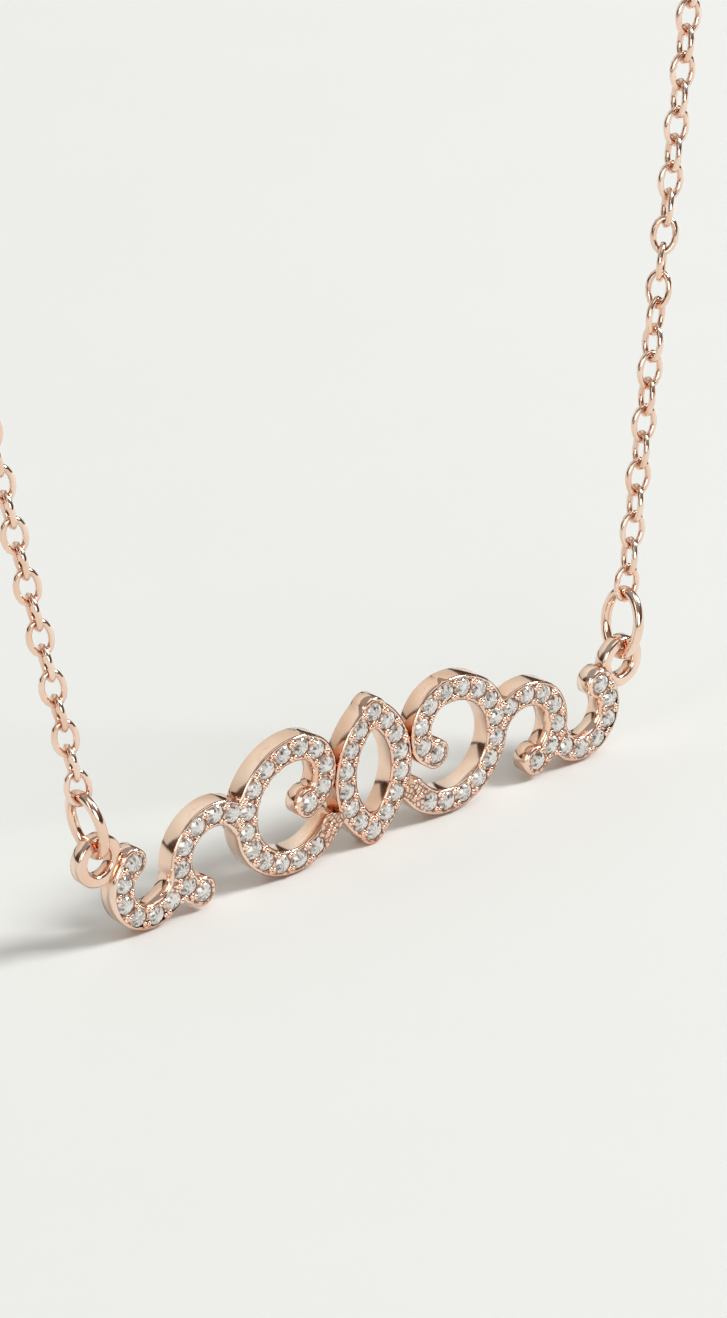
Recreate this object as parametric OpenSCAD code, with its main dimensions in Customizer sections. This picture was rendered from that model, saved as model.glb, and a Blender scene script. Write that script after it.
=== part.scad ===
// Necklace with an openwork plate of mirrored scrolls, one row of round stones
// along every stroke, two oval rings and a cable chain that closes at the nape.
// Millimetres, +Z up, the plate faces -Y, the origin is on the nape.

/* [Plate] */
// Depth of the plate from front to back
plate_depth = 1.7; // [1.6:0.1:2.2]
// Width of the leaf and large scroll strokes
stroke_width = 1.9; // [1.85:0.05:2.1]
// Height of the leaf between its stroke centres
leaf_height = 8.9; // [8.5:0.1:9.3]
// Width of the leaf between its stroke centres
leaf_width = 5; // [4.8:0.1:5.6]
// Radius of the large scroll
large_scroll = 4.2; // [4.1:0.1:4.6]
// Radius of the middle scroll
middle_scroll = 2.9; // [2.8:0.1:3.2]
// Radius of the small scroll
small_scroll = 2.5; // [2.4:0.1:2.8]

/* [Stones] */
// Diameter of a stone
stone_diameter = 1.3; // [1.15:0.05:1.35]
// Metal left between two stones of a row
stone_spacing = 0.2; // [0.18:0.02:0.3]
// Air between a stone and its seat
seat_clearance = 0.05; // [0.04:0.01:0.07]

/* [Eyelets and rings] */
// Diameter of the hole in an eyelet
eyelet_hole = 2.05; // [1.95:0.05:2.3]
// Width of the eyelet's band
eyelet_band = 0.85; // [0.75:0.05:1]
// Thickness of an eyelet
eyelet_thickness = 1.2; // [1:0.1:1.4]
// Wire of an oval ring
ring_wire = 0.65; // [0.55:0.05:0.7]
// Length of an oval ring
ring_length = 5.2; // [4.9:0.1:5.8]
// Width of an oval ring
ring_width = 3.9; // [3.7:0.1:4.3]

/* [Chain] */
// Wire of a link
link_wire = 0.42; // [0.36:0.02:0.44]
// Length of a link
link_length = 2.88; // [2.8:0.02:3]
// Width of a link
link_width = 2; // [1.95:0.05:2.2]
// Least play between two links
link_play = 0.1; // [0.1:0.01:0.14]

/* [Loop] */
// Distance from the plate back to the nape
neck_depth = 86; // [82:1:90]
// Height of the nape over the foot of the plate
nape_height = 100; // [96:1:104]
// Outward slope of the chain above the plate, degrees
spread_angle = 11; // [9:0.5:14]
// Backward slope of the chain above the plate, degrees
lean_angle = 4.3; // [3:0.1:8]

/* [Hidden] */
$fn = 32;

// Metal edges: a fine bright edge in front and a softer one behind.
front_edge = 0.1;
back_edge = 0.3;
// A branch is a little narrower than the stroke that it springs from.
branch_step = 0.06;
arc_step = 0.015;
arc_tuck = 4;
boss_flare = 0.13;
boss_radius = stroke_width / 2 + boss_flare;

leaf_middle = stroke_width / 2 + leaf_height / 2;
leaf_arc = (leaf_height * leaf_height + leaf_width * leaf_width) / (4 * leaf_width);
leaf_turn = 2 * asin(leaf_height / 2 / leaf_arc);
foot = stroke_width / 2;
leaf_gap = 0.4;
large_centre = [leaf_width / 2 + large_scroll + leaf_gap, foot + large_scroll];
middle_centre = [large_centre[0] + 2 * sqrt(large_scroll * middle_scroll), foot + middle_scroll];
small_centre = [middle_centre[0] + 2 * sqrt(middle_scroll * small_scroll), foot + small_scroll];

// Each stroke is a row of arcs [x, y, radius, start angle, sweep] that run on smoothly.
leaf = [[leaf_width / 2 - leaf_arc, leaf_middle, leaf_arc, -leaf_turn / 2, leaf_turn]];
large_start = 205;
large = arcs(large_centre, large_start,
  [[large_scroll, 255], [large_scroll * 0.6, 100], [large_scroll * 0.4, 60]]);
middle = arcs(middle_centre, bearing(middle_centre, large_centre),
  [[middle_scroll, -215], [middle_scroll * 0.55, -40]]);
small = arcs(small_centre, bearing(small_centre, middle_centre), [[small_scroll, 235]]);

function bearing(from, to) = atan2(to[1] - from[1], to[0] - from[0]);
function arcs(c, a, steps, i = 0) =
  let (r = steps[i][0], e = a + steps[i][1])
  concat([[c[0], c[1], r, a, steps[i][1]]],
    i + 1 == len(steps) ? [] :
      arcs(c + (r - steps[i + 1][0]) * [cos(e), sin(e)], e, steps, i + 1));

// Stone places: evenly spaced along a stroke between a bare start and its end.
pitch = stone_diameter + stone_spacing;
function arc_length(a) = a[2] * abs(a[4]) * PI / 180;
function stroke_length(row, i = 0) = i == len(row) ? 0 : arc_length(row[i]) + stroke_length(row, i + 1);
function spot(row, s, i = 0) =
  i + 1 < len(row) && s > arc_length(row[i]) ? spot(row, s - arc_length(row[i]), i + 1) :
    let (a = row[i], e = a[3] + (a[4] > 0 ? 1 : -1) * s / a[2] * 180 / PI)
    [a[0] + a[2] * cos(e), a[1] + a[2] * sin(e)];
function places(row, bare) =
  let (run = stroke_length(row) - bare, gaps = max(1, floor(run / pitch + 0.001)))
  [for (i = [0:gaps]) spot(row, bare + run * i / gaps)];
function apart(p, rest, i = 0) =
  i == len(rest) ? true :
    norm(p - rest[i]) < stone_diameter + stone_spacing / 4 ? false : apart(p, rest, i + 1);
function sift(all, i = 0, kept = []) =
  i == len(all) ? kept : sift(all, i + 1, apart(all[i], kept) ? concat(kept, [all[i]]) : kept);
// The bare starts keep a branch's first stone off the row that it springs from.
large_bare = 2.75;
middle_bare = 2.4;
small_bare = 2.3;
half_places = sift(concat(places(leaf, 0), places(large, large_bare),
  places(middle, middle_bare), places(small, small_bare)));
stone_places = concat(half_places, [for (p = half_places) if (p[0] > 0.01) [-p[0], p[1]]]);

// Cut of a stone, measured from its girdle.
stone_radius = stone_diameter / 2;
table_radius = stone_radius * 0.56;
crown_height = stone_diameter * 0.16;
girdle_height = stone_diameter * 0.04;
pavilion_height = stone_diameter * 0.43;
girdle_sink = 0.1;
girdle_level = plate_depth / 2 - girdle_sink;
drill_radius = stone_radius * 0.45;

// Eyelets hang the plate above its centre of weight.
eyelet_radius = eyelet_hole / 2 + eyelet_band;
eyelet_sink = 0.44;
eyelet_turn = 34;
eyelet_back = 0.1;
eyelet_centre = small_centre + (small_scroll + stroke_width / 2 + eyelet_radius - eyelet_sink)
  * [cos(eyelet_turn), sin(eyelet_turn)];
eyelet_level = -plate_depth / 2 + eyelet_thickness / 2 + eyelet_back;
eyelet_edge = 0.22;

// Steps along the chain's route, all measured from the middle of the eyelet.
bow_play = 0.14;
ring_play = link_play + bow_play;
ring_step = eyelet_hole / 2 - ring_wire / 2 - ring_play + (ring_length - ring_wire) / 2;
first_link = ring_step + ring_length / 2 - ring_wire - link_wire - link_play + link_length / 2;

// Route of the chain: straight above the plate, then one plain bend to the nape.
straight_run = 46;
nape_flat = 9;
pull_up = 38;
pull_back = 54;
rise = [tan(spread_angle), tan(lean_angle), 1] / norm([tan(spread_angle), tan(lean_angle), 1]);
eyelet_at = [eyelet_centre[0], -eyelet_level, eyelet_centre[1]];
bend_start = eyelet_at + straight_run * rise;
bend_end = [nape_flat, neck_depth, nape_height];
bend_points = [bend_start, bend_start + pull_up * rise, bend_end + [pull_back, 0, 0], bend_end];
bend_steps = 80;

function bend(t) = pow(1 - t, 3) * bend_points[0] + 3 * t * pow(1 - t, 2) * bend_points[1]
  + 3 * t * t * (1 - t) * bend_points[2] + pow(t, 3) * bend_points[3];
function bend_heading(t) = pow(1 - t, 2) * (bend_points[1] - bend_points[0])
  + 2 * t * (1 - t) * (bend_points[2] - bend_points[1])
  + t * t * (bend_points[3] - bend_points[2]);
bend_table = [for (k = 0, s = 0; k <= bend_steps;
  s = s + norm(bend((k + 1) / bend_steps) - bend(k / bend_steps)), k = k + 1) [s, k / bend_steps]];
bend_length = bend_table[bend_steps][0];
half_route = straight_run + bend_length + nape_flat;

function unit(v) = v / norm(v);
function flip(v, side) = [side * v[0], v[1], v[2]];
function ease(t) = t <= 0 ? 0 : t >= 1 ? 1 : t * t * (3 - 2 * t);
function route(s) = s <= straight_run ? eyelet_at + s * rise :
  s < straight_run + bend_length ? bend(lookup(s - straight_run, bend_table)) :
    bend_end - [s - straight_run - bend_length, 0, 0];
function heading(s) = s <= straight_run ? rise :
  s < straight_run + bend_length ? unit(bend_heading(lookup(s - straight_run, bend_table))) :
    [-1, 0, 0];
function facing(s) =
  let (a = 180 * ease((s - straight_run) / bend_length)) [sin(a), -cos(a), 0];

// Clasp and end ring lie on the flat stretch at the nape.
clasp_length = 8.6;
clasp_width = 4.4;
clasp_bar = 0.9;
clasp_thickness = 1.4;
clasp_eye = 1.5;
eye_band = 0.6;
eye_thickness = 0.7;
end_wire = 0.6;
end_diameter = 4.4;
eye_sink = 0.3;
eye_step = link_length / 2 + clasp_eye / 2 - link_wire - link_play - bow_play;
body_step = eye_step + clasp_eye / 2 + eye_band - eye_sink + clasp_length / 2;
end_step = body_step + clasp_length / 2 - clasp_bar + end_diameter / 2 - end_wire
  - link_play - 1.3 * bow_play;
clasp_reach = end_step + end_diameter / 2 - end_wire - link_wire - link_play + link_length / 2;

// Link counts: the left chain ends on a link seen edge-on, the right one on a flat link.
link_pitch = link_length - 2 * link_wire - link_play;
left_end = (clasp_reach - link_pitch) / 2;
right_end = (clasp_reach + link_pitch) / 2;
left_run = half_route - left_end - first_link;
right_run = half_route - right_end - first_link;
left_gaps = 2 * ceil((left_run / link_pitch - 1) / 2) + 1;
right_gaps = 2 * ceil(right_run / link_pitch / 2);

// Roll of the links about the chain, by link number.
left_roll = [[0, -15], [60, -15], [80, 0], [200, 0]];
right_roll = [[0, -15], [8, -15], [15, 75], [30, 75], [78, 0], [200, 0]];

module on_route(side, s, roll) {
  p = flip(route(s), side);
  t = flip(heading(s), side);
  f = flip(facing(s), side);
  n = unit(f - (f * t) * t);
  b = cross(n, t);
  multmatrix([[t[0], b[0], n[0], p[0]], [t[1], b[1], n[1], p[1]], [t[2], b[2], n[2], p[2]],
    [0, 0, 0, 1]]) rotate([roll, 0, 0]) children();
}

module on_neck() {
  translate([0, -neck_depth, -nape_height]) children();
}

// Turns the plate's drawing plane upright with its front to -Y.
module upright() {
  rotate([90, 0, 0]) children();
}

module mirrored() {
  children();
  mirror([1, 0, 0]) children();
}

module oval(length, width, wire) {
  bow = (width - wire) / 2;
  stretch = (length - width) / 2;
  for (s = [0, 180])
    rotate([0, 0, s])
      translate([stretch, 0, 0])
        rotate([0, 0, -90])
          rotate_extrude(angle = 180)
            translate([bow, 0])
              circle(wire / 2);
  for (s = [-1, 1])
    translate([-stretch, s * bow, 0])
      rotate([0, 90, 0])
        cylinder(r = wire / 2, h = 2 * stretch);
}

// Each arc of a stroke is a hair narrower than the one before and starts inside it.
module band(row, w) {
  for (i = [0:len(row) - 1]) {
    a = row[i];
    h = w / 2 - i * arc_step;
    tuck = i == 0 ? 0 : arc_tuck;
    start = a[4] > 0 ? a[3] - tuck : a[3] + a[4];
    translate([a[0], a[1], 0])
      rotate([0, 0, start])
        rotate_extrude(angle = abs(a[4]) + tuck)
          translate([a[2], 0])
            polygon([[-h, -plate_depth / 2 + back_edge], [-h + back_edge, -plate_depth / 2],
              [h - back_edge, -plate_depth / 2], [h, -plate_depth / 2 + back_edge],
              [h, plate_depth / 2 - front_edge], [h - front_edge, plate_depth / 2],
              [-h + front_edge, plate_depth / 2], [-h, plate_depth / 2 - front_edge]]);
  }
}

module boss(at, r) {
  translate([at[0], at[1], 0])
    rotate_extrude()
      polygon([[0, -plate_depth / 2], [r - back_edge, -plate_depth / 2],
        [r, -plate_depth / 2 + back_edge], [r, plate_depth / 2 - front_edge],
        [r - front_edge, plate_depth / 2], [0, plate_depth / 2]]);
}

module eyelet() {
  h = eyelet_thickness / 2;
  b = eyelet_band / 2;
  e = eyelet_edge;
  translate([eyelet_centre[0], eyelet_centre[1], eyelet_level])
    rotate_extrude()
      translate([eyelet_hole / 2 + b, 0])
        polygon([[-b, -h + e], [-b + e, -h], [b - e, -h], [b, -h + e], [b, h - e], [b - e, h],
          [-b + e, h], [-b, h - e]]);
}

// Seat: a straight wall round the girdle, a cone under it and a drill to the back.
module seat() {
  c = seat_clearance;
  r = stone_radius + c;
  floor_level = girdle_level - girdle_height - pavilion_height;
  rotate_extrude()
    polygon([[0, plate_depth], [r, plate_depth], [r, girdle_level - girdle_height - c],
      [drill_radius, floor_level + pavilion_height * drill_radius / stone_radius - 2 * c],
      [drill_radius, -plate_depth], [0, -plate_depth]]);
}

module stone() {
  translate([0, 0, girdle_level])
    rotate_extrude($fn = 8)
      polygon([[0, -girdle_height - pavilion_height], [stone_radius, -girdle_height],
        [stone_radius, 0], [table_radius, crown_height], [0, crown_height]]);
}

module nameplate() {
  color([0.86, 0.62, 0.5])
    on_neck() upright() difference() {
      union() {
        mirrored() {
          band(leaf, stroke_width);
          band(large, stroke_width);
          band(middle, stroke_width - branch_step);
          band(small, stroke_width - 2 * branch_step);
          boss(spot(large, stroke_length(large)), boss_radius);
          boss(spot(middle, stroke_length(middle)), boss_radius);
          boss(spot(small, stroke_length(small)), boss_radius);
          eyelet();
        }
        boss(spot(leaf, 0), boss_radius);
        boss(spot(leaf, stroke_length(leaf)), boss_radius);
      }
      for (p = stone_places) translate([p[0], p[1], 0]) seat();
    }
}

module stones() {
  color([0.93, 0.95, 0.97])
    on_neck() upright()
      for (p = stone_places) translate([p[0], p[1], 0]) stone();
}

module left_ring() {
  color([0.86, 0.62, 0.5])
    on_neck() on_route(-1, ring_step, 90) oval(ring_length, ring_width, ring_wire);
}

module right_ring() {
  color([0.86, 0.62, 0.5])
    on_neck() on_route(1, ring_step, 90) oval(ring_length, ring_width, ring_wire);
}

module chain_left() {
  color([0.86, 0.62, 0.5])
    on_neck()
      for (i = [0:left_gaps])
        on_route(-1, first_link + left_run * i / left_gaps, lookup(i, left_roll) + (i % 2) * 90)
          oval(link_length, link_width, link_wire);
}

module chain_right() {
  color([0.86, 0.62, 0.5])
    on_neck()
      for (i = [0:right_gaps])
        on_route(1, first_link + right_run * i / right_gaps, lookup(i, right_roll) + (i % 2) * 90)
          oval(link_length, link_width, link_wire);
}

// Clasp: an eye for the left chain and a long closed hook for the end ring.
module clasp() {
  bow = (clasp_width - clasp_bar) / 2;
  stretch = (clasp_length - clasp_width) / 2;
  color([0.86, 0.62, 0.5])
    on_neck() on_route(-1, half_route - left_end + body_step, 0) union() {
      for (s = [0, 180])
        rotate([0, 0, s])
          translate([stretch, 0, 0])
            rotate([0, 0, -90])
              rotate_extrude(angle = 180)
                translate([bow, 0])
                  square([clasp_bar, clasp_thickness], center = true);
      for (s = [-1, 1])
        translate([0, s * bow, 0])
          cube([2 * stretch, clasp_bar, clasp_thickness], center = true);
      translate([-0.9, bow + clasp_bar / 2, 0])
        cylinder(r = 0.6, h = clasp_thickness * 0.8, center = true);
      translate([eye_step - body_step, 0, 0])
        rotate_extrude()
          translate([clasp_eye / 2 + eye_band / 2, 0])
            square([eye_band, eye_thickness], center = true);
    }
}

module end_ring() {
  color([0.86, 0.62, 0.5])
    on_neck() on_route(-1, half_route - left_end + end_step, 90)
      rotate_extrude()
        translate([(end_diameter - end_wire) / 2, 0])
          circle(end_wire / 2);
}

nameplate();
stones();
left_ring();
right_ring();
chain_left();
chain_right();
clasp();
end_ring();
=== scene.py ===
"""Looks of a necklace with an openwork scroll plate, a row of cut stones along
its strokes and a cable chain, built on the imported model's frame. Metres."""

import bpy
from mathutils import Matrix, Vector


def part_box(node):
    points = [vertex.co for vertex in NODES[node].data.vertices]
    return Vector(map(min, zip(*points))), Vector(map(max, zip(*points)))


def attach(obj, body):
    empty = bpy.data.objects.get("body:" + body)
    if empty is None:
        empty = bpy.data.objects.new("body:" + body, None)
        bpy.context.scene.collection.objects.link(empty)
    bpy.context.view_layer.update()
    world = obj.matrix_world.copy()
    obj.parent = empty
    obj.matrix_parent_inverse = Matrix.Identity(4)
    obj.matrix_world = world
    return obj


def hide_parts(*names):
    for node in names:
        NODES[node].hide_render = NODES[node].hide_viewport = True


bl_info = {
    "name": "Scroll plate necklace",
    "version": (1, 0, 0),
    "blender": (4, 5, 0),
    "location": "View3D > Sidebar > Necklace",
    "description": "Dresses the necklace's plate, stones, rings and chain",
    "category": "Object",
}

from collections import namedtuple
from itertools import combinations
from math import cos, pi, radians, sin

import bmesh
import bpy
import numpy as np
from bpy.props import FloatProperty, FloatVectorProperty, IntProperty, PointerProperty
from mathutils import Matrix, Vector
from mathutils.bvhtree import BVHTree
from mathutils.kdtree import KDTree

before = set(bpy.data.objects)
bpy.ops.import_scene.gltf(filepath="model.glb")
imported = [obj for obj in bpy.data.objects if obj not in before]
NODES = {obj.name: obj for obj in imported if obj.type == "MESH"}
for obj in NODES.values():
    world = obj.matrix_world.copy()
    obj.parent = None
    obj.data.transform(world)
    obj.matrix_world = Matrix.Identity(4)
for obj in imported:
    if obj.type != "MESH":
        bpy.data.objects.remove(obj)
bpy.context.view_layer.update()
FRONT = Vector((0, -1, 0))
PLATE_LOW, PLATE_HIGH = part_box("nameplate")
MM = 0.001

# Distance between two nodes of a tree in the editor
NODE_STEP = 200

# Painted shade of the plating deep in a hollow, and in the cuts between the stones
HOLLOW_SHADE_TINT = (0.66, 0.33, 0.20, 1)
CUT_SHADE_TINT = (0.2, 0.085, 0.05, 1)
# Cells in a metre that the setter's tools leave on the plate's front
CUT_SCALE = 2700.0
# Faces this square to the front and this near to it carry those cells
CUT_FACING, CUT_DEPTH = 0.9, 0.05 * MM
# Painted reflections of a stone from its darkest flash to its brightest, and tones of the room
# from low to high
STONE_REFLECTION_TONES = ((0.24, (0.17, 0.14, 0.12, 1)), (0.36, (0.42, 0.3948, 0.3654, 1)),
               (0.54, (0.68, 0.6392, 0.5916, 1)), (0.72, (1, 0.985, 0.945, 1)))
ROOM_TONES = ((0.05, (0.1, 0.045, 0.025, 1)), (0.4, (0.37, 0.265, 0.21, 1)),
              (0.8, (1, 1, 1, 1)))
# Share of the floor's colour in its blotches, and the painted shade that darkens it far from the
# piece
BLOTCH_SHARE = 0.985
FAR_FLOOR_SHADE = (0.5, 0.45, 0.42, 1)

# Steps in a metre at which corners of a solid count as one
WELD_STEPS = 2e6
# Points round an oval, and sides of its wire
RING_STEPS = (48, 16)
LINK_STEPS = (16, 8)
# Rounding of the clasp's edges
CLASP_EASE = 0.22 * MM

# Stones closer than this many diameters stand next to each other in a row
ROW_REACH = 1.35
# Beads on one side of a gap between two stones, in millimetres: how far out from the row,
# how far along it from the gap's middle, and how deep the bead's middle lies
Bead = namedtuple("Bead", "out ahead depth")
BEADS = (Bead(0.5, -0.17, 0.02), Bead(0.5, 0.17, 0.02), Bead(0.68, 0, 0.07))
# A bead moves in by this step while less than the rim of metal is left outside it, to no
# nearer than the limit, and is left out where it comes this close to another, in millimetres
BEAD_STEP, BEAD_RIM, BEAD_LIMIT, BEAD_APART = 0.04, 0.22, 0.3, 0.2
# Beads on bare metal past a row's end: how many, the turn of the first, their distance from
# the middle of the spot, and how deep they lie
END_BEADS, END_TURN, END_OUT, END_DEPTH = 3, 0.5, 0.29 * MM, 0.03 * MM
# Free space that such a spot keeps to the next stone, and metal that it needs all round
END_SPACE, END_RIM = 1.2 * MM, 0.6 * MM

# Lights: place from the plate's middle, width and height, watts and colour
Light = namedtuple("Light", "name place size power colour", defaults=[(1, 1, 1)])
LIGHTS = (
    Light("Key", (1.35, -0.7, 1.15), (0.55, 0.55), 31),
    Light("Over", (0.2, -0.5, 1.4), (1.2, 0.6), 2.5),
    Light("Left card", (-1.2, -0.3, 0.5), (0.25, 0.9), 1.5),
    Light("Back card", (0, 1.1, 0.68), (2.6, 1.3), 7.6, (0.84, 0.86, 0.79)),
    Light("Front card", (-0.7, -1.1, 0.35), (0.8, 0.5), 4.6),
)
ROOM_STRENGTH = 0.345

# The photograph: its height in pixels, the size of a pixel at the plate, how high over the
# plate's foot the plate's middle is seen, and where from there the frame's middle lies
PHOTO_HEIGHT = 1318
PIXEL = MM / 14.7
SEEN_HEIGHT = 6.3 * MM
FRAME_UP, FRAME_RIGHT = 98.5 * PIXEL, -3 * PIXEL
# The camera's sensor in millimetres, and the nearest that it sees
SENSOR_HEIGHT, NEAREST_SEEN = 24, 0.01
# The floor's reach from the plate to each side, and its gap under the plate
FLOOR_REACH, FLOOR_GAP = 2, 0.02 * MM


class NecklaceMetal(bpy.types.PropertyGroup):
    """Colour and polish of the plated metal."""

    colour: FloatVectorProperty(
        name="Rose gold", description="Colour of the plating", subtype="COLOR",
        size=3, min=0, max=1, default=(0.96, 0.75, 0.62))
    deep_colour: FloatVectorProperty(
        name="Deep tone", description="Colour of the plating where it thickens", subtype="COLOR",
        size=3, min=0, max=1, default=(0.90, 0.615, 0.465))
    roughness: FloatProperty(
        name="Roughness", description="Roughness of the polish", subtype="FACTOR",
        min=0, max=1, default=0.13)


class NecklaceStones(bpy.types.PropertyGroup):
    """Cut and setting of the stones."""

    diameter: FloatProperty(
        name="Stone", description="Diameter of a stone", subtype="DISTANCE",
        unit="LENGTH", min=0, default=1.37 * MM)
    tilt: FloatProperty(
        name="Tilt", description="How far a stone leans in its seat", subtype="ANGLE",
        unit="ROTATION", default=radians(2.5))
    sink: FloatProperty(
        name="Sink", description="Depth of the stones' girdles below the plate's front",
        subtype="DISTANCE", unit="LENGTH", default=0.06 * MM)
    bead: FloatProperty(
        name="Bead", description="Diameter of a setting bead", subtype="DISTANCE",
        unit="LENGTH", min=0, default=0.43 * MM)
    seed: IntProperty(
        name="Seed", description="Picks how the stones turn and how the beads differ", default=7)


class NecklaceChain(bpy.types.PropertyGroup):
    """Sizes of the links and rings."""

    wire: FloatProperty(
        name="Link wire", description="Wire of a link", subtype="DISTANCE",
        unit="LENGTH", default=0.45 * MM)
    length: FloatProperty(
        name="Link length", description="Length of a link", subtype="DISTANCE",
        unit="LENGTH", default=2.88 * MM)
    width: FloatProperty(
        name="Link width", description="Width of a link", subtype="DISTANCE",
        unit="LENGTH", default=2.0 * MM)
    ring_wire: FloatProperty(
        name="Ring wire", description="Wire of an oval ring", subtype="DISTANCE",
        unit="LENGTH", default=0.74 * MM)
    ring_length: FloatProperty(
        name="Ring length", description="Length of an oval ring", subtype="DISTANCE",
        unit="LENGTH", default=5.28 * MM)
    ring_width: FloatProperty(
        name="Ring width", description="Width of an oval ring", subtype="DISTANCE",
        unit="LENGTH", default=3.97 * MM)


class NecklaceStage(bpy.types.PropertyGroup):
    """Camera and floor."""

    azimuth: FloatProperty(
        name="Azimuth", description="Camera's turn about the upright axis",
        subtype="ANGLE", unit="ROTATION", default=radians(-41))
    elevation: FloatProperty(
        name="Elevation", description="Camera's height over the horizon",
        subtype="ANGLE", unit="ROTATION", default=radians(25.3))
    distance: FloatProperty(
        name="Distance", description="Camera's distance from the plate",
        subtype="DISTANCE", unit="LENGTH", default=0.45)
    floor_colour: FloatVectorProperty(
        name="Floor", description="Colour of the floor", subtype="COLOR",
        size=3, min=0, max=1, default=(0.823, 0.836, 0.815))


class NecklaceSettings(bpy.types.PropertyGroup):
    """All of the necklace's settings."""

    metal: PointerProperty(type=NecklaceMetal)
    stones: PointerProperty(type=NecklaceStones)
    chain: PointerProperty(type=NecklaceChain)
    stage: PointerProperty(type=NecklaceStage)


def settings():
    """The necklace's settings in the open scene."""
    return bpy.context.scene.necklace


# Node trees


def node(tree, kind, inputs=None, **values):
    """Adds a node to the right of the last one. Each input takes a value or a socket."""
    made = tree.nodes.new(kind)
    made.location = (NODE_STEP * len(tree.nodes), 0)
    for key, value in values.items():
        setattr(made, key, value)
    for key, value in (inputs or {}).items():
        if isinstance(value, bpy.types.NodeSocket):
            tree.links.new(value, made.inputs[key])
        else:
            made.inputs[key].default_value = value
    return made


def maths(tree, operation, *values):
    """Result of an operation on values or sockets."""
    inputs = dict(enumerate(values))
    return node(tree, "ShaderNodeMath", inputs, operation=operation).outputs[0]


def mix(tree, share, low, high):
    """Colour between two colours, each a value or a socket."""
    inputs = {"Factor": share, "A": low, "B": high}
    return node(tree, "ShaderNodeMix", inputs, data_type="RGBA").outputs["Result"]


def ramp(tree, place, tones):
    """Colour that runs through tones, each given with its place from 0 to 1."""
    made = node(tree, "ShaderNodeValToRGB", {"Fac": place})
    stops = made.color_ramp.elements
    stops.remove(stops[1])
    stops[0].position, stops[0].color = tones[0]
    for spot, tone in tones[1:]:
        stops.new(spot).color = tone
    return made.outputs["Color"]


# Materials


def material(name, surface, **values):
    """The material of a name, made once. The surface function gives its shader's inputs."""
    made = bpy.data.materials.get(name)
    if made is None:
        made = bpy.data.materials.new(name)
        made.use_nodes = True
        tree = made.node_tree
        tree.nodes.clear()
        shader = node(tree, "ShaderNodeBsdfPrincipled", surface(tree, **values))
        node(tree, "ShaderNodeOutputMaterial", {"Surface": shader.outputs["BSDF"]})
    return made


def object_place(tree):
    """Place on the piece, for textures that keep to it."""
    return node(tree, "ShaderNodeTexCoord").outputs["Object"]


def plating(tree, place, rough):
    """Plated metal: a soft drift of colour, painted shade deeper in hollows, and fine polishing
    marks.
    """
    metal = settings().metal
    smooth_share, worn_share = 0.75, 1.3
    drift = node(tree, "ShaderNodeTexNoise", {"Vector": place, "Scale": 260.0, "Detail": 2.0})
    spread = node(tree, "ShaderNodeMapRange", {
        "Value": drift.outputs["Fac"], "From Min": 0.3, "From Max": 0.6})
    tone = mix(tree, spread.outputs["Result"], (*metal.deep_colour, 1), (*metal.colour, 1))
    # Painted shade: the plating turns darker and warmer where nearby metal closes round it
    hollow_shade = node(tree, "ShaderNodeAmbientOcclusion", {"Distance": 1.6 * MM}, samples=6)
    fine = node(tree, "ShaderNodeTexNoise", {"Vector": place, "Scale": 5200.0, "Detail": 3.0})
    wear = node(tree, "ShaderNodeMapRange", {
        "Value": fine.outputs["Fac"], "To Min": metal.roughness * rough * smooth_share,
        "To Max": metal.roughness * rough * worn_share})
    return {"Metallic": 1.0, "Base Color": mix(tree, hollow_shade.outputs["AO"], HOLLOW_SHADE_TINT, tone),
            "Roughness": wear.outputs["Result"]}


def polished_surface(tree, rough):
    """Plating with a faint orange peel."""
    place = object_place(tree)
    peel = node(tree, "ShaderNodeTexNoise", {"Vector": place, "Scale": 1500.0, "Detail": 1.0})
    bump = node(tree, "ShaderNodeBump", {
        "Height": peel.outputs["Fac"], "Strength": 0.12, "Distance": 0.02 * MM})
    return {**plating(tree, place, rough), "Normal": bump.outputs["Normal"]}


def cut_and_shaded_surface(tree, rough):
    """Plating with the small cuts and burrs of the setter's tools, and painted shade in the cuts.
    """
    place = object_place(tree)
    metal = plating(tree, place, rough)
    edges = node(tree, "ShaderNodeTexVoronoi", {"Vector": place, "Scale": CUT_SCALE},
                 feature="DISTANCE_TO_EDGE")
    # Painted shade: dark lines along the cells' edges stand in for the shadow in the cuts
    cut = node(tree, "ShaderNodeMapRange", {
        "Value": edges.outputs["Distance"], "From Max": 0.24})
    cells = node(tree, "ShaderNodeTexVoronoi", {"Vector": place, "Scale": CUT_SCALE})
    bump = node(tree, "ShaderNodeBump", {
        "Height": cells.outputs["Distance"], "Strength": 0.9, "Distance": 0.08 * MM})
    return {**metal, "Normal": bump.outputs["Normal"],
            "Base Color": mix(tree, cut.outputs["Result"], CUT_SHADE_TINT, metal["Base Color"])}


def stone_surface(tree):
    """Colourless stone: painted reflections that make its facets flash unevenly, under a painted
    star of eight dark arrows.
    """
    arrow_count, arrow_strength, brightness = 8.0, 0.3, 0.62
    cells = node(tree, "ShaderNodeTexVoronoi", {"Vector": object_place(tree), "Scale": 3400.0})
    facet = node(tree, "ShaderNodeAttribute", attribute_name="facet")
    cut = node(tree, "ShaderNodeAttribute", attribute_name="cut")
    side = node(tree, "ShaderNodeSeparateXYZ", {"Vector": cut.outputs["Vector"]})
    angle = maths(tree, "ARCTAN2", side.outputs["Y"], side.outputs["X"])
    arrows = maths(tree, "COSINE", maths(tree, "MULTIPLY", angle, arrow_count))
    flash = maths(tree, "ADD", cells.outputs["Color"], facet.outputs["Fac"])
    star = maths(tree, "MULTIPLY_ADD", arrows, arrow_strength, flash)
    light = maths(tree, "MULTIPLY", star, brightness)
    return {"Base Color": ramp(tree, light, STONE_REFLECTION_TONES), "Roughness": 0.02, "IOR": 2.3,
            "Transmission Weight": 0.35}


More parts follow.
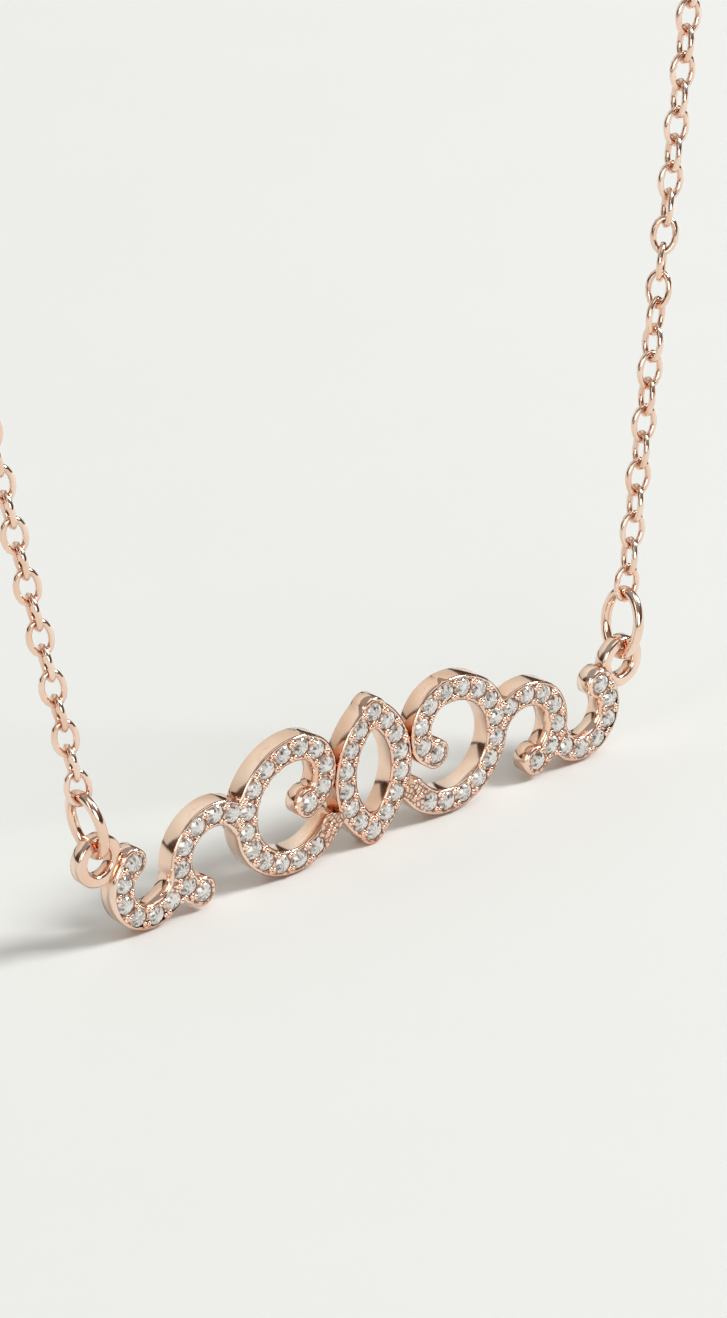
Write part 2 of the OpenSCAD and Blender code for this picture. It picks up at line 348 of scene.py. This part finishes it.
def floor_surface(tree):
    """Pale matt floor with faint blotches, and painted shade that darkens it far from the piece.
    """
    near = settings().stage.floor_colour
    place = object_place(tree)
    blotch = node(tree, "ShaderNodeTexNoise", {"Vector": place, "Scale": 60.0, "Detail": 3.0})
    darker = [BLOTCH_SHARE * c for c in near]
    tone = mix(tree, blotch.outputs["Fac"], (*darker, 1), (*near, 1))
    # Painted shade: the floor darkens from half a metre to a metre and a half out from the piece
    away = node(tree, "ShaderNodeVectorMath", {0: place}, operation="LENGTH")
    far_shade = node(tree, "ShaderNodeMapRange", {
        "Value": away.outputs["Value"], "From Min": 0.5, "From Max": 1.5},
        interpolation_type="SMOOTHSTEP")
    return {"Base Color": mix(tree, far_shade.outputs["Result"], tone, FAR_FLOOR_SHADE),
            "Roughness": 0.7, "Specular IOR Level": 0.2}


def rose_gold():
    """Polished metal of the plate, the chain, the rings and the clasp."""
    return material("Polished rose gold", polished_surface, rough=1.0)


# Reading the solids


def welded(mesh):
    """A node's corners without doubles, and its triangles as rows of corner numbers."""
    corners = np.empty(len(mesh.vertices) * 3)
    mesh.vertices.foreach_get("co", corners)
    corners = corners.reshape(-1, 3)
    mesh.calc_loop_triangles()
    triangles = np.empty(len(mesh.loop_triangles) * 3, int)
    mesh.loop_triangles.foreach_get("vertices", triangles)
    keys = np.round(corners * WELD_STEPS).astype(np.int64)
    _, first, number = np.unique(keys, axis=0, return_index=True, return_inverse=True)
    triangles = number.reshape(-1)[triangles].reshape(-1, 3)
    keep = (triangles[:, 0] != triangles[:, 1]) & (triangles[:, 1] != triangles[:, 2])
    keep &= triangles[:, 0] != triangles[:, 2]
    return corners[first], triangles[keep]


def loose_pieces(mesh):
    """The corners of each separate solid in a node."""
    corners, triangles = welded(mesh)
    label = np.arange(len(corners))
    while True:
        before = label.copy()
        low = label[triangles].min(axis=1)
        for side in range(3):
            np.minimum.at(label, triangles[:, side], low)
        label = label[label]
        if np.array_equal(before, label):
            break
    return [corners[label == value] for value in np.unique(label)]


def oval_frame(corners):
    """Middle of a flat oval, and its axes: length, width and normal."""
    middle = (corners.min(axis=0) + corners.max(axis=0)) / 2
    _, axes = np.linalg.eigh(np.cov((corners - corners.mean(axis=0)).T))
    length, width = Vector(axes[:, 2]), Vector(axes[:, 1])
    return Vector(middle), Matrix((length, width, length.cross(width))).transposed()


def stone_middles():
    """Middles of the stones, in order from left to right."""
    found = loose_pieces(NODES["stones"].data)
    places = [((p.min(axis=0) + p.max(axis=0)) / 2).tolist() for p in found]
    return [Vector(place) for place in sorted(places)]


# Making pieces


def new_object(name, data):
    """An object of a mesh, a light or a camera, in the open scene."""
    made = bpy.data.objects.new(name, data)
    bpy.context.scene.collection.objects.link(made)
    return made


def points_object(name, places, turns=None):
    """A cloud of points, each with the turn that its copy takes."""
    mesh = bpy.data.meshes.new(name)
    mesh.from_pydata([tuple(p) for p in places], [], [])
    if turns is not None:
        turn = mesh.attributes.new("turn", "QUATERNION", "POINT")
        turn.data.foreach_set("value", [v for q in turns for v in q])
    return new_object(name, mesh)


def new_tree(name, inputs):
    """A tree that takes points, the named inputs and a material, and what its inputs give."""
    tree = bpy.data.node_groups.new(name, "GeometryNodeTree")
    tree.is_modifier = True
    for label, kind in {"Geometry": "Geometry", **inputs, "Material": "Material"}.items():
        tree.interface.new_socket(label, in_out="INPUT", socket_type="NodeSocket" + kind)
    tree.interface.new_socket("Geometry", in_out="OUTPUT", socket_type="NodeSocketGeometry")
    return tree, node(tree, "NodeGroupInput").outputs


def set_on_points(tree, given, shape, **change):
    """Ends a tree: a copy of the shape on each point, made real, then the material."""
    copies = node(tree, "GeometryNodeInstanceOnPoints", {
        "Points": given["Geometry"], "Instance": shape, **change})
    real = node(tree, "GeometryNodeRealizeInstances", {"Geometry": copies.outputs["Instances"]})
    dress = node(tree, "GeometryNodeSetMaterial", {
        "Geometry": real.outputs["Geometry"], "Material": given["Material"]})
    node(tree, "NodeGroupOutput", {"Geometry": dress.outputs["Geometry"]})
    return tree


def run_tree(carrier, tree, values, name):
    """Runs a tree on a carrier, and keeps the result as one plain mesh."""
    modifier = carrier.modifiers.new(tree.name, "NODES")
    modifier.node_group = tree
    sockets = {s.name: s.identifier for s in tree.interface.items_tree
               if s.item_type == "SOCKET" and s.in_out == "INPUT"}
    for label, value in values.items():
        modifier[sockets[label]] = value
    return plain_mesh(carrier, name)


def plain_mesh(carrier, name):
    """Replaces a carrier and its modifiers by a plain mesh object."""
    bpy.context.view_layer.update()
    graph = bpy.context.evaluated_depsgraph_get()
    mesh = bpy.data.meshes.new_from_object(carrier.evaluated_get(graph), depsgraph=graph)
    bpy.data.objects.remove(carrier)
    mesh.name = name
    if not len(mesh.polygons):
        raise RuntimeError(f"{name} came out empty")
    return new_object(name, mesh)


def finish_piece(piece, slot, *nodes):
    """Hangs a piece on the model, in the place of its nodes."""
    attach(piece, "root")
    if nodes:
        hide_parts(*nodes)


# Plate and clasp


def polished_copy(source, name, trim=None, ease=0.0):
    """A node's shape with its doubles merged and its curves smooth, trimmed or eased."""
    flat, curved, sharp, ease_steps = radians(0.5), radians(50), radians(40), 3
    corners, triangles = welded(NODES[source].data)
    mesh = bpy.data.meshes.new(name)
    mesh.from_pydata(corners.tolist(), [], triangles.tolist())
    shape = bmesh.new()
    shape.from_mesh(mesh)
    bmesh.ops.dissolve_limit(shape, angle_limit=flat, verts=shape.verts, edges=shape.edges)
    if trim:
        trim(shape)
    for face in shape.faces:
        face.smooth = True
    for edge in shape.edges:
        edge.smooth = len(edge.link_faces) == 2 and edge.calc_face_angle(0) < curved
    shape.to_mesh(mesh)
    shape.free()
    mesh.materials.append(rose_gold())
    piece = new_object(name, mesh)
    if ease:
        bevel = piece.modifiers.new("Eased edges", "BEVEL")
        bevel.width = ease
        bevel.segments = ease_steps
        bevel.limit_method = "ANGLE"
        bevel.angle_limit = sharp
        bevel.harden_normals = False
    even = piece.modifiers.new("Even shading", "WEIGHTED_NORMAL")
    even.keep_sharp = not ease
    return plain_mesh(piece, name)


def slant_ends(shape):
    """Slants the square ends of the large scrolls, so that they run into the leaf."""
    square, upright_share, least_wall = radians(60), 0.99, 0.1 * MM ** 2
    corner_reach, slant = 0.33 * MM, 0.42 * MM
    shape.normal_update()
    upright = [e for e in shape.edges if e.is_convex and e.calc_face_angle(0) > square
               and abs(e.verts[0].co.y - e.verts[1].co.y) > upright_share * e.calc_length()
               and min(f.calc_area() for f in e.link_faces) > least_wall]
    for edge in upright:
        corner = edge.verts[0].co.copy()
        end = max(edge.link_faces, key=lambda f: f.calc_area())
        inward = end.calc_center_median() - corner
        inward.y = 0
        for point in shape.verts:
            gap = point.co - corner
            gap.y = 0
            if gap.length < corner_reach:
                point.co += inward.normalized() * slant


def bright_cut(shape):
    """Widens the bevel round the plate's front, so that thin rims run beside the stones."""
    front_depth, seat_reach, wider = 0.01 * MM, 0.74 * MM, 0.09 * MM
    least_slope, most_slope, least_pull = 0.2, 0.9, 0.1
    places = stone_middles()
    seats = KDTree(len(places))
    for i, place in enumerate(places):
        seats.insert((place.x, 0, place.z), i)
    seats.balance()
    shape.normal_update()
    moves = {}
    for corner in shape.verts:
        if corner.co.y > PLATE_LOW.y + front_depth:
            continue
        if seats.find((corner.co.x, 0, corner.co.z))[2] < seat_reach:
            continue
        slopes = [f.normal for f in corner.link_faces
                  if least_slope < -f.normal.y < most_slope]
        out = sum(slopes, Vector())
        out.y = 0
        if out.length > least_pull:
            moves[corner] = out.normalized() * wider
    for corner, move in moves.items():
        corner.co -= move


def trim_plate(shape):
    """Slants the large scrolls' ends and cuts the plate's rims."""
    slant_ends(shape)
    bright_cut(shape)


# Rings and links


def oval_tree():
    """Tree that puts an oval of wire on each point, turned as the point says."""
    tree, given = new_tree("Oval links", {
        "Wire": "Float", "Length": "Float", "Width": "Float", "Bow points": "Int",
        "Wire sides": "Int"})
    wire = given["Wire"]
    half_width, half_length = (
        maths(tree, "MULTIPLY", maths(tree, "SUBTRACT", given[size], wire), 0.5)
        for size in ("Width", "Length"))
    ring = node(tree, "GeometryNodeCurvePrimitiveCircle", {
        "Resolution": given["Bow points"], "Radius": 1.0})
    size = node(tree, "ShaderNodeCombineXYZ", {"X": half_length, "Y": half_width, "Z": 1.0})
    oval = node(tree, "GeometryNodeTransform", {
        "Geometry": ring.outputs["Curve"], "Scale": size.outputs["Vector"]})
    section = node(tree, "GeometryNodeCurvePrimitiveCircle", {
        "Resolution": given["Wire sides"], "Radius": maths(tree, "MULTIPLY", wire, 0.5)})
    tube = node(tree, "GeometryNodeCurveToMesh", {
        "Curve": oval.outputs["Geometry"], "Profile Curve": section.outputs["Curve"]})
    smooth = node(tree, "GeometryNodeSetShadeSmooth", {"Geometry": tube.outputs["Mesh"]})
    turns = node(tree, "GeometryNodeInputNamedAttribute", {"Name": "turn"},
                 data_type="QUATERNION")
    return set_on_points(tree, given, smooth.outputs["Geometry"],
                         Rotation=turns.outputs["Attribute"])


def ovals(source, name, wire, length, width, steps):
    """Ovals of wire in the places of a node's solids."""
    frames = [oval_frame(solid) for solid in loose_pieces(NODES[source].data)]
    places = [middle for middle, axes in frames]
    turns = [axes.to_quaternion() for middle, axes in frames]
    tree = bpy.data.node_groups.get("Oval links") or oval_tree()
    bow_points, wire_sides = steps
    piece = run_tree(points_object(name + " points", places, turns), tree, {
        "Wire": wire, "Length": length, "Width": width, "Bow points": bow_points,
        "Wire sides": wire_sides, "Material": rose_gold()}, name)
    finish_piece(piece, "metal", source)


# Stones and beads


def brilliant(diameter):
    """Round brilliant with its girdle at the origin: table, stars, kites, girdle and pavilion."""
    radius = diameter / 2
    crown, band, depth = 0.32 * radius, 0.08 * radius, 0.86 * radius
    table_share, star_share, low_share = 0.56, 0.78, 0.28

    def at(share, step, height):
        angle = step * pi / 8
        return (share * radius * cos(angle), share * radius * sin(angle), height)

    star_height = crown * (1 - star_share * cos(pi / 8)) / (1 - table_share)
    low_height = -band - depth * (1 - low_share * cos(pi / 8))
    corners = [at(table_share, 2 * k, crown) for k in range(8)]
    corners += [at(star_share, 2 * k + 1, star_height) for k in range(8)]
    corners += [at(1, k, 0) for k in range(16)]
    corners += [at(1, k, -band) for k in range(16)]
    corners += [at(low_share, 2 * k + 1, low_height) for k in range(8)]
    corners += [(0, 0, -band - depth)]
    # Number of the first corner of each row above
    table, star, girdle, under, low, tip = 0, 8, 16, 32, 48, 56
    faces = [tuple(range(8))]
    for k in range(8):
        after, before = (k + 1) % 8, (k - 1) % 8
        here, half, whole = 2 * k, 2 * k + 1, (2 * k + 2) % 16
        faces += [(table + k, star + k, table + after),
                  (table + k, star + before, girdle + here, star + k),
                  (star + k, girdle + here, girdle + half),
                  (star + k, girdle + half, girdle + whole),
                  (low + k, under + half, under + here),
                  (low + k, under + whole, under + half),
                  (tip, low + k, under + here, low + before)]
    faces += [(girdle + k, under + k, under + (k + 1) % 16, girdle + (k + 1) % 16)
              for k in range(16)]
    mesh = bpy.data.meshes.new("brilliant")
    mesh.from_pydata(corners, [], faces)
    shape = bmesh.new()
    shape.from_mesh(mesh)
    bmesh.ops.recalc_face_normals(shape, faces=shape.faces)
    shape.to_mesh(mesh)
    shape.free()
    # Painted reflection tones spread evenly over the facets, in steps of the golden share
    table_flash, first_flash, golden, turns = 0.6, 0.35, 0.61803, 5
    tones = [table_flash if len(f.vertices) == 8
             else (first_flash + golden * f.index * turns) % 1.0 for f in mesh.polygons]
    facet = mesh.attributes.new("facet", "FLOAT", "FACE")
    facet.data.foreach_set("value", tones)
    cut = mesh.attributes.new("cut", "FLOAT_VECTOR", "POINT")
    cut.data.foreach_set("vector", [c / radius for v in mesh.vertices for c in v.co])
    return mesh


def stone_tree():
    """Tree that sets a stone on each point, turned at random and leaning a little."""
    tree, given = new_tree("Set stones", {"Stone": "Object", "Lean": "Float", "Seed": "Int"})
    stone = node(tree, "GeometryNodeObjectInfo", {"Object": given["Stone"]})
    lean = given["Lean"]
    back = maths(tree, "MULTIPLY", lean, -1.0)
    least = node(tree, "ShaderNodeCombineXYZ", {"X": back, "Y": back, "Z": -pi})
    most = node(tree, "ShaderNodeCombineXYZ", {"X": lean, "Y": lean, "Z": pi})
    angles = node(tree, "FunctionNodeRandomValue", {
        0: least.outputs[0], 1: most.outputs[0], "Seed": given["Seed"]},
        data_type="FLOAT_VECTOR")
    turn = node(tree, "FunctionNodeEulerToRotation", {0: angles.outputs[0]})
    forward = node(tree, "FunctionNodeEulerToRotation", {0: (pi / 2, 0, 0)})
    both = node(tree, "FunctionNodeRotateRotation", {
        0: forward.outputs[0], 1: turn.outputs[0]}, rotation_space="LOCAL")
    return set_on_points(tree, given, stone.outputs["Geometry"], Rotation=both.outputs[0])


def bead_tree():
    """Tree that puts a round metal bead on each point, each a little different in size."""
    tree, given = new_tree("Setting beads", {"Diameter": "Float", "Seed": "Int"})
    least, most = 0.85, 1.12
    ball = node(tree, "GeometryNodeMeshUVSphere", {
        "Segments": 8, "Rings": 5, "Radius": maths(tree, "MULTIPLY", given["Diameter"], 0.5)})
    smooth = node(tree, "GeometryNodeSetShadeSmooth", {"Geometry": ball.outputs["Mesh"]})
    size = node(tree, "FunctionNodeRandomValue", {2: least, 3: most, "Seed": given["Seed"]},
                data_type="FLOAT")
    return set_on_points(tree, given, smooth.outputs["Geometry"], Scale=size.outputs[1])


def plate_rays():
    """Tree of the plate's surface that rays can be cast on."""
    corners, triangles = welded(NODES["nameplate"].data)
    return BVHTree.FromPolygons(corners.tolist(), triangles.tolist())


def on_front(solid, spot):
    """Whether the plate's front, and not a hole or a gap, lies behind a spot."""
    clear, depth = 2 * MM, 0.15 * MM
    hit = solid.ray_cast((spot.x, PLATE_LOW.y - clear, spot.z), -FRONT)[0]
    return hit is not None and hit.y < PLATE_LOW.y + depth


def bare_ends(places, reach, solid):
    """Spots one step past the last stone of a row where the plate still has bare metal."""
    near = [[j for j, b in enumerate(places) if j != i and (a - b).length < reach]
            for i, a in enumerate(places)]
    spots = []
    for i, others in enumerate(near):
        if len(others) != 1:
            continue
        last, before = places[i], places[others[0]]
        step = last - before
        earlier = [j for j in near[others[0]] if j != i]
        if earlier:
            bend = before - places[earlier[0]]
            step.rotate(bend.rotation_difference(step))
        spot = last + step
        if any((spot - p).length < END_SPACE for p in places):
            continue
        rim = [spot + Vector((END_RIM * cos(a), 0, END_RIM * sin(a)))
               for a in (0, pi / 2, pi, 3 * pi / 2)]
        if all(on_front(solid, p) for p in [spot] + rim):
            spots.append(spot)
    return spots


def bead_spots(places, reach):
    """Middles of the beads beside each gap between two stones, and on the rows' bare ends."""
    front = PLATE_LOW.y
    solid = plate_rays()
    spots = []
    for a, b in combinations(places, 2):
        if (a - b).length >= reach:
            continue
        middle, along = (a + b) / 2, (b - a).normalized()
        across = along.cross(FRONT)
        for side in (-1, 1):
            for out, ahead, depth in BEADS:
                foot = middle + along * ahead * MM
                while out > BEAD_LIMIT and not on_front(
                        solid, foot + across * side * (out + BEAD_RIM) * MM):
                    out -= BEAD_STEP
                spot = foot + across * side * out * MM
                spot.y = front + depth * MM
                if all((spot - s).length > BEAD_APART * MM for s in spots):
                    spots.append(spot)
    for spot in bare_ends(places, reach, solid):
        spot.y = front + END_DEPTH
        for k in range(END_BEADS):
            turn = Matrix.Rotation(k * 2 * pi / END_BEADS + END_TURN, 3, "Y")
            spots.append(spot + turn @ Vector((END_OUT, 0, 0)))
    return spots


# Stage


def lay_floor(plate, turn):
    """A wide floor just under the plate."""
    mesh = bpy.data.meshes.new("floor")
    corners = [(x * FLOOR_REACH, y * FLOOR_REACH, 0) for x, y in
               ((-1, -1), (1, -1), (1, 1), (-1, 1))]
    mesh.from_pydata(corners, [], [(0, 1, 2, 3)])
    mesh.materials.append(material("Pale floor", floor_surface))
    floor = new_object("floor", mesh)
    floor.location = (plate.x, plate.y, PLATE_LOW.z - FLOOR_GAP)
    floor.rotation_euler.z = turn


def hang_light(light, plate):
    """A soft panel of light that faces the plate."""
    data = bpy.data.lights.new(light.name, "AREA")
    data.shape = "RECTANGLE"
    data.size, data.size_y = light.size
    data.energy = light.power
    data.color = light.colour
    lamp = new_object(light.name, data)
    lamp.location = plate + Vector(light.place)
    lamp.rotation_euler = (plate - lamp.location).to_track_quat("-Z", "Y").to_euler()


def fill_room(scene):
    """Light from all round: pale above, and brown low down for the metal to mirror."""
    world = bpy.data.worlds.new("Soft room")
    world.use_nodes = True
    scene.world = world
    tree = world.node_tree
    tree.nodes.clear()
    place = node(tree, "ShaderNodeTexCoord").outputs["Generated"]
    height = node(tree, "ShaderNodeSeparateXYZ", {"Vector": place}).outputs["Z"]
    light = node(tree, "ShaderNodeBackground", {
        "Color": ramp(tree, height, ROOM_TONES), "Strength": ROOM_STRENGTH})
    node(tree, "ShaderNodeOutputWorld", {"Surface": light.outputs[0]})


def place_camera(scene, plate, stage):
    """Camera at the photograph's viewing angle and scale."""
    turn, rise = stage.azimuth, stage.elevation
    back = Vector((sin(turn) * cos(rise), -cos(turn) * cos(rise), sin(rise)))
    right = Vector((cos(turn), sin(turn), 0))
    up = back.cross(right)
    seen = Vector((0, plate.y, PLATE_LOW.z + SEEN_HEIGHT))
    aim = seen + up * FRAME_UP + right * FRAME_RIGHT
    data = bpy.data.cameras.new("Camera")
    data.sensor_fit = "VERTICAL"
    data.sensor_height = SENSOR_HEIGHT
    data.lens = SENSOR_HEIGHT * stage.distance / PIXEL / PHOTO_HEIGHT
    data.clip_start = NEAREST_SEEN
    camera = new_object("Camera", data)
    camera.matrix_world = Matrix.Translation(aim + back * stage.distance) @ Matrix(
        (right, up, back)).transposed().to_4x4()
    scene.camera = camera


# Operators


class NECKLACE_OT_plate(bpy.types.Operator):
    """Dress the openwork plate with its eyelets"""

    bl_idname = "necklace.plate"
    bl_label = "Scroll plate"

    def execute(self, context):
        piece = polished_copy("nameplate", "scroll_plate", trim=trim_plate)
        # The front faces take the cut metal, with painted shade in its cuts
        piece.data.materials.append(material("Cut front", cut_and_shaded_surface, rough=1.2))
        for face in piece.data.polygons:
            near = face.center.y < PLATE_LOW.y + CUT_DEPTH
            if near and face.normal.dot(FRONT) > CUT_FACING:
                face.material_index = 1
        finish_piece(piece, "metal", "nameplate")
        return {"FINISHED"}


class NECKLACE_OT_stones(bpy.types.Operator):
    """Set a cut stone in every seat"""

    bl_idname = "necklace.stones"
    bl_label = "Cut stones"

    def execute(self, context):
        values = settings().stones
        places = stone_middles()
        for place in places:
            place.y = PLATE_LOW.y + values.sink
        pattern = new_object("brilliant", brilliant(values.diameter))
        piece = run_tree(points_object("stone points", places), stone_tree(), {
            "Stone": pattern, "Lean": values.tilt, "Seed": values.seed,
            "Material": material("Clear cut stone", stone_surface)}, "cut_stones")
        bpy.data.objects.remove(pattern)
        finish_piece(piece, "stone", "stones")
        return {"FINISHED"}


class NECKLACE_OT_beads(bpy.types.Operator):
    """Raise the metal beads that hold the stones"""

    bl_idname = "necklace.beads"
    bl_label = "Setting beads"

    def execute(self, context):
        values = settings().stones
        spots = bead_spots(stone_middles(), values.diameter * ROW_REACH)
        piece = run_tree(points_object("bead points", spots), bead_tree(), {
            "Diameter": values.bead, "Seed": values.seed,
            "Material": material("Bright beads", polished_surface, rough=0.6)}, "setting_beads")
        finish_piece(piece, "metal")
        return {"FINISHED"}


class NECKLACE_OT_rings(bpy.types.Operator):
    """Make the two oval rings at the eyelets"""

    bl_idname = "necklace.rings"
    bl_label = "Oval rings"

    def execute(self, context):
        sizes = settings().chain
        for side in ("left", "right"):
            ovals(side + "_ring", side + "_oval_ring", sizes.ring_wire, sizes.ring_length,
                  sizes.ring_width, RING_STEPS)
        return {"FINISHED"}


class NECKLACE_OT_chains(bpy.types.Operator):
    """Make the two halves of the cable chain"""

    bl_idname = "necklace.chains"
    bl_label = "Cable chains"

    def execute(self, context):
        sizes = settings().chain
        for side in ("left", "right"):
            ovals("chain_" + side, side + "_cable_chain", sizes.wire, sizes.length,
                  sizes.width, LINK_STEPS)
        return {"FINISHED"}


class NECKLACE_OT_clasp(bpy.types.Operator):
    """Dress the clasp and the ring that it holds"""

    bl_idname = "necklace.clasp"
    bl_label = "Clasp"

    def execute(self, context):
        finish_piece(polished_copy("clasp", "nape_clasp", ease=CLASP_EASE), "metal", "clasp")
        finish_piece(polished_copy("end_ring", "clasp_ring"), "metal", "end_ring")
        return {"FINISHED"}


class NECKLACE_OT_stage(bpy.types.Operator):
    """Put up the floor, the lights and the camera"""

    bl_idname = "necklace.stage"
    bl_label = "Stage"

    def execute(self, context):
        stage = settings().stage
        plate = (PLATE_LOW + PLATE_HIGH) / 2
        lay_floor(plate, stage.azimuth)
        for light in LIGHTS:
            hang_light(light, plate)
        fill_room(context.scene)
        place_camera(context.scene, plate, stage)
        context.scene.view_settings.view_transform = "Standard"
        return {"FINISHED"}


class NECKLACE_PT_panel(bpy.types.Panel):
    """Lists the pieces of the necklace"""

    bl_label = "Necklace"
    bl_idname = "NECKLACE_PT_panel"
    bl_space_type = "VIEW_3D"
    bl_region_type = "UI"
    bl_category = "Necklace"

    def draw(self, context):
        for group in ("metal", "stones", "chain", "stage"):
            box = self.layout.box()
            values = getattr(context.scene.necklace, group)
            for key in type(values).__annotations__:
                box.prop(values, key)
        for kind in PIECES:
            self.layout.operator(kind.bl_idname)


PIECES = (NECKLACE_OT_plate, NECKLACE_OT_stones, NECKLACE_OT_beads, NECKLACE_OT_rings,
          NECKLACE_OT_chains, NECKLACE_OT_clasp, NECKLACE_OT_stage)
CLASSES = (NecklaceMetal, NecklaceStones, NecklaceChain, NecklaceStage, NecklaceSettings,
           *PIECES, NECKLACE_PT_panel)


def register():
    """Adds the necklace's settings, operators and panel."""
    for kind in CLASSES:
        bpy.utils.register_class(kind)
    bpy.types.Scene.necklace = PointerProperty(type=NecklaceSettings)


def unregister():
    """Takes them away again."""
    del bpy.types.Scene.necklace
    for kind in reversed(CLASSES):
        bpy.utils.unregister_class(kind)


def main():
    """Makes every piece and the stage."""
    register()
    for kind in PIECES:
        group, name = kind.bl_idname.split(".")
        getattr(getattr(bpy.ops, group), name)()


if __name__ == "__main__":
    main()
